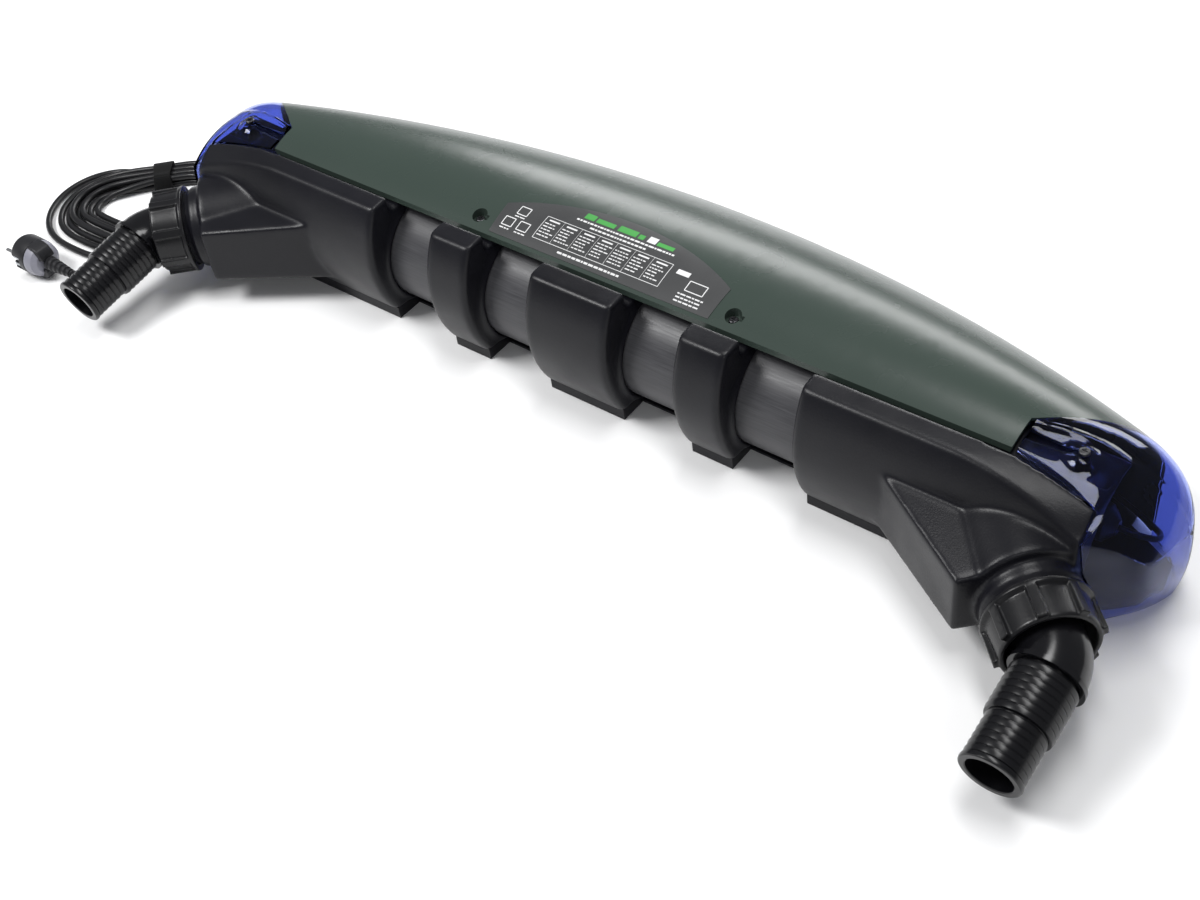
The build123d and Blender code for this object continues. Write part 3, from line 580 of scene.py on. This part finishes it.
def panel_relief(column, w):
    """Raised rail along the ridge, wide on the tab and narrow over the nose, beside a shallow hollow."""
    fade = max(0.0, 1 - column / (TAB_LENGTH * STEPS))
    wide = min(1.0, 2 * fade)
    rail = RAIL_RISE if 0.04 < w < 0.09 + 0.11 * wide else 0
    return rail * (0.4 + 0.6 * fade) - HOLLOW_DEPTH * math.sin(math.pi * w) ** 2 * wide


def screw_pad(point):
    """Lifts the panel to the level seat round its screw."""
    seat = Vector(CAP_SCREW) * MM
    reach = math.hypot(point.x - seat.x, point.y - seat.y)
    share = min(1.0, max(0.0, (SEAT_R - reach) / SEAT_BLEND))
    share = share * share * (3 - 2 * share)
    return Vector((point.x, point.y, point.z + (seat.z - point.z) * share))


def grid(lines):
    """Quads over equal lines of points, as (points, faces)."""
    size = len(lines[0])
    points = [p for line in lines for p in line]
    faces = [(i * size + j, i * size + j + 1, (i + 1) * size + j + 1, (i + 1) * size + j)
             for i in range(len(lines) - 1) for j in range(size - 1)]
    return points, faces


def cap_patches():
    """The cap's outer skin: front panel, back, lower back and the skirt under the visor."""
    ridge = smooth_line(RIDGE)
    front = smooth_line(TAB_FRONT)
    front += [front[-1].lerp(Vector(VISOR_EDGE[0]) * MM, j / STEPS) for j in range(1, STEPS)]
    visor = smooth_line(VISOR_EDGE)
    low, foot, edge = front + visor, smooth_line(CAP_FOOT), cover_edge()
    share = [i / ROWS for i in range(ROWS + 1)]
    panel = []
    for column, (top, bottom) in enumerate(zip(ridge, low)):
        panel.append([screw_pad(bulged(top, bottom, w, PANEL_SWELL_R)
                                + Vector((0, 0, panel_relief(column, w)))) for w in share])
    back = [[bulged(top, bottom, w, BACK_SWELL_R) for w in share] for top, bottom in zip(ridge, edge)]
    skirt = [[bulged(top, bottom, v, SKIRT_SWELL_R) for v in share] for top, bottom in zip(visor, foot)]
    nose, heel = skirt[-1], [edge[-1].lerp(Vector(CAP_BACK_FOOT) * MM, v) for v in share]
    lower = [[bulged(a, b, w, BACK_SWELL_R + (HEEL_SWELL_R - BACK_SWELL_R) * v) for w in share]
             for a, b, v in zip(nose, heel, share)]
    return [grid(lines) for lines in (panel, back, skirt, lower)]


def neck_tool(sign):
    """What has to be open for the port's neck, and below it so that the cap lifts off."""
    port = Vector(PORT_AXIS_START) * MM
    along, across = Vector((1, -1, 0)).normalized(), Vector((1, 1, 0)).normalized()
    radius, drop = PORT_OPENING_R, PORT_OPENING_DROP
    outline = [(radius * math.cos(a), radius * math.sin(a)) for a in (math.pi * i / 24 for i in range(25))]
    outline += [(-radius, -drop), (radius, -drop)]
    rings = [[port + along * t * MM + across * a + Vector((0, 0, b)) for a, b in outline]
             for t in PORT_OPENING_REACH]
    return rings_object("tool", [[Vector((sign * p.x, p.y, p.z)) for p in ring] for ring in rings])


def cap_shell(side, sign):
    """The cap's outer skin, thickened inward, with its foot kept over the floor."""
    points, faces = [], []
    for patch_points, patch_faces in cap_patches():
        faces += [tuple(i + len(points) for i in face) for face in patch_faces]
        points += [Vector((sign * p.x, p.y, p.z)) for p in patch_points]
    cap = mesh_object(side + "_clear_cap", points, faces, weld=0.03 * MM)
    skin = cap.modifiers.new("skin", "SOLIDIFY")
    skin.thickness = CAP_SKIN
    skin.offset = -1
    skin.use_even_offset = True
    skin.use_quality_normals = True
    apply_modifiers(cap)
    for vertex in cap.data.vertices:
        vertex.co.z = max(vertex.co.z, CAP_LIFT * MM)
    return cap


def screw_slot(sign):
    """Tools for the round seat of the cap's screw and the slot that leads to it."""
    x, y = sign * CAP_SCREW[0] * MM, CAP_SCREW[1] * MM
    mouth = sign * SLOT_MOUTH_X * MM
    slot = [(mouth, y - 4.5 * MM), (x, y - 2.4 * MM), (x, y + 2.4 * MM), (mouth, y + 4.5 * MM)]
    seat = circle_points((x, y), 2.6 * MM)
    return [prism_tool(outline, 100 * MM, 160 * MM) for outline in (slot, seat)]


def end_cap(side, sign, material):
    cap = cap_shell(side, sign)
    cut(cap, screw_slot(sign) + [neck_tool(sign)])
    shade_by_angle(cap, 32)
    return keep_piece(cap, side + "_cap", material, (side + "_end_cap",))


# ---------------------------------------------------------------- plug and strap
PLUG_BACK = Vector((-604, -197, 20)) * MM


def plug_ring(reach, radius, count=48):
    """Ring round the plug's axis, reach in front of its back face."""
    return [PLUG_BACK + Vector((-reach, y, z)) for y, z in circle_points((0, 0), radius, count)]


def plug_turned(name, profile):
    """Round piece on the plug's axis, from (reach, radius) in mm."""
    piece = rings_object(name, [plug_ring(x * MM, r * MM) for x, r in profile])
    shade_by_angle(piece, 35)
    return piece


def block(x0, x1, y0, y1, z0, z1, name="tool"):
    """Plain block, sizes in mm from the plug's back face and axis."""
    low, high = [[PLUG_BACK + Vector((-x, y, z)) * MM for x, y, z in corners] for corners in (
        ((x0, y0, z0), (x1, y0, z0), (x1, y1, z0), (x0, y1, z0)),
        ((x0, y0, z1), (x1, y0, z1), (x1, y1, z1), (x0, y1, z1)))]
    return rings_object(name, [low, high])


def soft(piece, width, segments=3):
    """Bevels and smooths a modelled piece for good."""
    bevel = piece.modifiers.new("edge", "BEVEL")
    bevel.width = width
    bevel.segments = segments
    bevel.limit_method = "ANGLE"
    bevel.angle_limit = math.radians(30)
    apply_modifiers(piece)
    shade_by_angle(piece, 40)
    return piece


def plug_shell(materials):
    """Moulded front half, with the two notches that hold the earth contacts."""
    front = plug_turned("plug_front", [(19, 0.2), (19, 16.4), (20.2, 19.3), (22, 19.5), (38.5, 19.5),
                                       (41, 18.2), (42, 16), (42, 0.2)])
    notches = [block(31, 44, side * 13.5 - 6, side * 13.5 + 6, -2.7, 2.7) for side in (-1, 1)]
    wells = [prism_tool([(PLUG_BACK.x - 44 * MM, PLUG_BACK.y + side * y * MM) for y in (15.8, 22)]
                        + [(PLUG_BACK.x - 27 * MM, PLUG_BACK.y + side * y * MM) for y in (22, 15.8)],
                        PLUG_BACK.z - 7.5 * MM, PLUG_BACK.z + 7.5 * MM) for side in (-1, 1)]
    cut(front, notches + wells)
    shade_by_angle(front, 35)
    return keep_piece(front, "base", materials["plug_rubber"], ("plug_body",))


def plug_contacts(materials):
    """The earth strips that lie in the side notches."""
    pieces = []
    for side, name in ((-1, "front"), (1, "rear")):
        for level in (-1, 1):
            low, high = sorted((side * 15.9, side * 16.9))
            strip = block(28.5, 40.5, low, high, level * 4.8 - 1.9, level * 4.8 + 1.9,
                          f"earth_{name}_{'low' if level < 0 else 'high'}")
            pieces.append(keep_piece(soft(strip, 0.3 * MM), "base", materials["earth_metal"]))
    return pieces


def plug_collar(materials):
    """Grey chamfered ring behind the front half."""
    collar = plug_turned("plug_collar", [(5, 0.2), (5, 9.5), (5.2, 12.5), (9.5, 17.6), (17.6, 19.4),
                                         (18.9, 19.2), (19, 16.8), (19, 0.2)])
    return keep_piece(collar, "base", materials["plug_grey"])


def plug_wings(materials):
    """The two grips that stand above and below the collar."""
    pieces = []
    for side, name in ((1, "upper"), (-1, "lower")):
        outline = [(-1, 6.5), (0, 12), (4, 17.5), (10, 19.6), (20, 19.7), (20, 15), (6, 5)]
        rings = [[PLUG_BACK + Vector((-x, y, side * z)) * MM for x, z in outline] for y in (-8.2, 8.2)]
        wing = rings_object("plug_wing_" + name, rings)
        pieces.append(keep_piece(soft(wing, 1.3 * MM), "base", materials["plug_rubber"]))
    return pieces


def relief(materials):
    """Ribbed strain relief that tapers to the cord."""
    profile = [(1, 7.6), (-2, 7.6)]
    for i in range(5):
        start, radius = -3.2 - i * 6.6, 7.3 - i * 0.62
        for reach, rise in ((0, -1.5), (-1.4, -1.5), (-1.9, 0), (-5.2, -0.1), (-5.8, -1.4)):
            profile.append((start + reach, radius + rise))
    profile += [(-37.2, 4.5), (-38, 3.9)]
    piece = plug_turned("plug_ribs", profile)
    return keep_piece(piece, "base", materials["plug_rubber"], ("plug_relief",))


# Half of the bundle's width, its height, and the strap's thickness and half width.
STRAP_HALF, STRAP_TOP, STRAP_T, STRAP_EDGE = 17.6 * MM, 16.2 * MM, 1.5 * MM, 10 * MM


def strap_path():
    """Section of the strap round the bundle, as (across, up), ending in a loose flap."""
    half, top = STRAP_HALF, STRAP_TOP
    lower = [(-half + 3 * MM, 1.7 * MM), (half - 3 * MM, 1.7 * MM)]
    outer = [(half - 0.6 * MM, 2.8 * MM), (half, 5 * MM), (half - 0.3 * MM, top - 4.5 * MM),
             (half - 3 * MM, top - 0.6 * MM)]
    upper = [(half - 8 * MM, top + 0.5 * MM), (0, top + 0.9 * MM), (-half + 8 * MM, top + 0.5 * MM),
             (-half + 3 * MM, top - 0.6 * MM)]
    inner = [(-half, top - 4.5 * MM), (-half - 0.5 * MM, 5 * MM), (-half - 2.5 * MM, 2.4 * MM),
             (-half - 7.5 * MM, 1.2 * MM)]
    return lower + outer + upper + inner


def strap(materials):
    path = [Vector(p) for p in strap_path()]
    rows = []
    for i, place in enumerate(path):
        before, after = path[max(i - 1, 0)], path[min(i + 1, len(path) - 1)]
        along = (after - before).normalized()
        outward = Vector((along.y, -along.x))
        edge = STRAP_EDGE * (1 - 0.12 * math.sin(i * 0.9))
        rows.append([(place + outward * lift, width) for lift, width in (
            (0, -edge), (STRAP_T, -edge), (STRAP_T, edge), (0, edge))])
    rings = [[TIE + TIE_OUT * p.x + TIE_ALONG * w + Vector((0, 0, p.y)) for p, w in row] for row in rows]
    piece = rings_object("hank_strap", rings)
    rounding = piece.modifiers.new("round", "SUBSURF")
    rounding.levels = rounding.render_levels = 2
    crease = piece.data.attributes.new("crease_edge", "FLOAT", "EDGE")
    for edge in piece.data.edges:
        a, b = (v % 4 for v in edge.vertices)
        crease.data[edge.index].value = 0.85 if a == b else 0
    apply_modifiers(piece)
    shade_by_angle(piece, 60)
    return keep_piece(piece, "base", materials["strap_fabric"], ("cord_tie",))


def cord_fittings(materials):
    pieces = [plug_shell(materials), plug_collar(materials), relief(materials), strap(materials)]
    pieces += plug_contacts(materials) + plug_wings(materials)
    return pieces + [NODES["plug_pins"], NODES["strain_relief"]]


def make_cord(materials):
    cord = mains_cord(materials)
    cord_fittings(materials)


# ---------------------------------------------------------------- printing on the label
# Places and sizes are in mm on the label, along the unit and across it.
PRINT_LIFT = 0.47 * MM         # the label's thickness and a film of ink, measured along Z
TITLE_FOOT = 22.5
# Plain bars in place of a title: left, right, height
GREEN_TITLE = [(-45, -34, 7), (-32, -12, 5.5), (-8, 12, 7), (14, 20, 5.5), (34.5, 52, 4.5)]
WHITE_TITLE = [(24, 33, 7.5)]
TABLE = (-76, 62, -15, 10)     # left, right, bottom, top
COLUMNS = 7
ROWS_IN_CELL = 5
SMALL_BOXES = [(-106, 1), (-96, -14), (-113, -14)]
LINE_HEIGHT = 1.9
SMALL_PRINT = 1.1


def bar(marks, x0, x1, y0, y1):
    """Adds a printed bar that follows the label's curve."""
    columns = max(1, int((x1 - x0) / 8))
    rows = max(1, int((y1 - y0) / 3))
    points, faces = marks
    first = len(points)
    for i in range(columns + 1):
        for j in range(rows + 1):
            x = (x0 + (x1 - x0) * i / columns) * MM
            y = (y0 + (y1 - y0) * j / rows) * MM
            points.append((x, y, dome_z(x, y) + PRINT_LIFT))
    for i in range(columns):
        for j in range(rows):
            k = first + i * (rows + 1) + j
            faces.append((k, k + rows + 1, k + rows + 2, k + 1))


def text_line(marks, rng, x0, x1, y, height):
    """Dashes of word length stand in for a line of print."""
    x = x0
    while x < x1 - 1:
        end = min(x1, x + rng.uniform(1.6, 5.5))
        bar(marks, x, end, y, y + height)
        x = end + 0.9


def frame_lines(marks, x0, x1, y0, y1, pen):
    for low in (y0, y1):
        bar(marks, x0, x1, low - pen / 2, low + pen / 2)
    for side in (x0, x1):
        bar(marks, side - pen / 2, side + pen / 2, y0, y1)


def table_print(marks, rng):
    """Ruled table of equal columns, each with a heading bar over its lines."""
    x0, x1, y0, y1 = TABLE
    width = (x1 - x0) / COLUMNS
    for column in range(COLUMNS):
        left = x0 + column * width
        frame_lines(marks, left, left + width, y0, y1, 0.55)
        bar(marks, left + 4, left + width - 4, y1 - 4.2, y1 - 2.6)
        for row in range(ROWS_IN_CELL):
            end = left + width - 1.8 - rng.uniform(0, 6)
            text_line(marks, rng, left + 1.8, end, y1 - 8 - row * 3.3, SMALL_PRINT)


def label_print(materials):
    rng = random.Random(7)
    white, green = ([], []), ([], [])
    for marks, title in ((green, GREEN_TITLE), (white, WHITE_TITLE)):
        for x0, x1, height in title:
            bar(marks, x0, x1, TITLE_FOOT, TITLE_FOOT + height)
    text_line(white, rng, -50, 56, 18, LINE_HEIGHT)
    text_line(white, rng, -32, 30, 13.3, LINE_HEIGHT)
    table_print(white, rng)
    text_line(white, rng, -44, 24, -20.5, LINE_HEIGHT)
    for x0, y0 in SMALL_BOXES:
        frame_lines(white, x0, x0 + 11, y0, y0 + 9, 0.9)
        text_line(white, rng, x0, x0 + 12, y0 - 3.4, SMALL_PRINT)
    bar(white, 69, 82, 3, 8)
    frame_lines(white, 86, 104, -9, 1, 0.9)
    for row in range(3):
        text_line(white, rng, 82, 108, -14 - row * 3.4, 1.3)
    for name, marks, ink in (("label_print", white, "label_ink"), ("label_title", green, "label_green")):
        keep_piece(mesh_object(name, *marks), "cover", materials[ink])


# ---------------------------------------------------------------- hose tails
# Sizes are in mm along and round the right tail's axis; the left one is its mirror image.
TAIL_START = (493.6, -137.9, 58.5)
TAIL_AXIS = (0.01243, -0.98757, -0.15666)
TAIL_BORE_R = 18.5
TAIL_STEP, TAIL_END = 60.2, 101.5
SOCKET_L = 17.0                # how far the tail runs before it leaves its elbow
RING_POINTS = 96


def barb_rows(start, end, low, high, count):
    """Profile of a run of barbs: each rises slowly away from the mouth side and drops back steeply."""
    pitch = (end - start) / count
    rows = []
    for i in range(count):
        here = start + i * pitch
        rows += [(low, here), (low, here + pitch * 0.10), (high, here + pitch * 0.26),
                 (high, here + pitch * 0.42), (low + 0.3, here + pitch * 0.97)]
    return rows


def tail_profile():
    """The tail's section as (radius, reach): bore, socket, large barbs, small barbs and mouth."""
    profile = [(TAIL_BORE_R, TAIL_END - 0.6), (TAIL_BORE_R, 6), (24, 6), (24, SOCKET_L + 0.4)]
    profile += barb_rows(SOCKET_L + 1.5, TAIL_STEP, 25.5, 26.6, 7)
    profile += [(25.0, TAIL_STEP), (23.2, TAIL_STEP + 0.3)]
    profile += barb_rows(TAIL_STEP + 0.6, TAIL_END - 5.2, 22.9, 23.9, 6)
    return profile + [(22.4, TAIL_END - 5), (24.2, TAIL_END - 4.2), (24.5, TAIL_END - 2.4),
                      (24.1, TAIL_END - 0.7), (23.2, TAIL_END), (19.4, TAIL_END)]


def hosetail(side, sign, material):
    start = Vector((sign * TAIL_START[0], *TAIL_START[1:])) * MM
    along = Vector((sign * TAIL_AXIS[0], *TAIL_AXIS[1:])).normalized()
    across = along.cross(Vector((0, 0, 1))).normalized()
    upward = across.cross(along)
    rings = [[start + (along * reach + across * a + upward * b) * MM
              for a, b in circle_points((0, 0), radius, RING_POINTS)] for radius, reach in tail_profile()]
    tail = rings_object(side + "_barbed_tail", rings, closed=True)
    shade_by_angle(tail, 26)
    return keep_piece(tail, side + "_elbow", material, (side + "_hosetail",))


# ---------------------------------------------------------------- CAD pieces that stay
# Rounded pieces: size of the voxels in mm, and rounds of smoothing
HOUSING_ROUNDING, BRACKET_ROUNDING, NUT_ROUNDING = (1.3, 48), (1.2, 48), (0.7, 5)
SOFTENED = {"left_end_housing": HOUSING_ROUNDING, "right_end_housing": HOUSING_ROUNDING,
            "left_bracket": BRACKET_ROUNDING, "right_bracket": BRACKET_ROUNDING,
            "centre_bracket": BRACKET_ROUNDING,
            "left_union_nut": NUT_ROUNDING, "right_union_nut": NUT_ROUNDING}


def soften(node, voxel, rounds):
    """Rounds a moulded CAD piece's edges with modifiers only, so that its own mesh stays as packed."""
    piece = NODES[node]
    remesh = piece.modifiers.new("even", "REMESH")
    remesh.mode = "VOXEL"
    remesh.voxel_size = voxel
    remesh.use_smooth_shade = True
    smooth = piece.modifiers.new("round", "SMOOTH")
    smooth.factor = 0.5
    smooth.iterations = rounds
    thin = piece.modifiers.new("thin", "DECIMATE")
    thin.ratio = 0.35


def dress_cad(materials):
    """Gives each CAD piece its slot's material; the nuts are less glossy than their slot."""
    finish = {row["node"]: row["material_slot"] for row in frame["record"]["subparts"]}
    finish.update({side + "_union_nut": "nut_black" for side, sign in SIDES})
    for name, node in NODES.items():
        node.data.materials.clear()
        node.data.materials.append(materials[finish[name]])


# ---------------------------------------------------------------- the scene
studio_camera()
materials = make_materials()
make_cord(materials)
dress_cad(materials)
for side, sign in SIDES:
    end_cap(side, sign, materials["blue_clear"])
    hosetail(side, sign, materials["tail_black"])
label_print(materials)
for name, (voxel, rounds) in SOFTENED.items():
    soften(name, voxel * MM, rounds)
studio()
